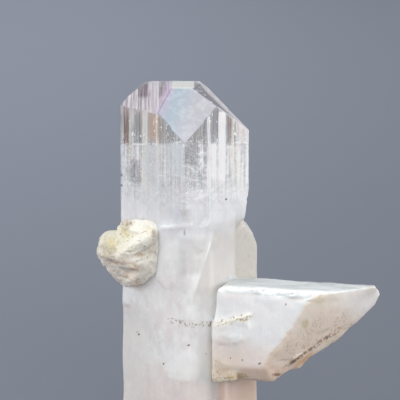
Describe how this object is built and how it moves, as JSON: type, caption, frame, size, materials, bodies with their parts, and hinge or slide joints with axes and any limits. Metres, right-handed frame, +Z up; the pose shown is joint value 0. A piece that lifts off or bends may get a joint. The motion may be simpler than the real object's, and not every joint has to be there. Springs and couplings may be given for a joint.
{
  "type": "danburite crystal",
  "caption": "Danburite specimen: a clear striated prism with a bevelled flat top on a milky stem, intergrown side crystals and a stained lump of matrix.",
  "frame": {"origin": "centre of the flat foot, on the main prism's axis", "axes": "+Z up along the main prism, -Y towards its front edge, +X towards the side crystal's tip"},
  "size_m": [0.0354, 0.0178, 0.0459],
  "materials": {
    "danburite": "clear and glassy at the head, milky and waxy below",
    "matrix": "rough, stained"
  },
  "bodies": {
    "root": {"danburite_crystals": "danburite", "matrix_lump": "matrix"}
  },
  "joints": []
}
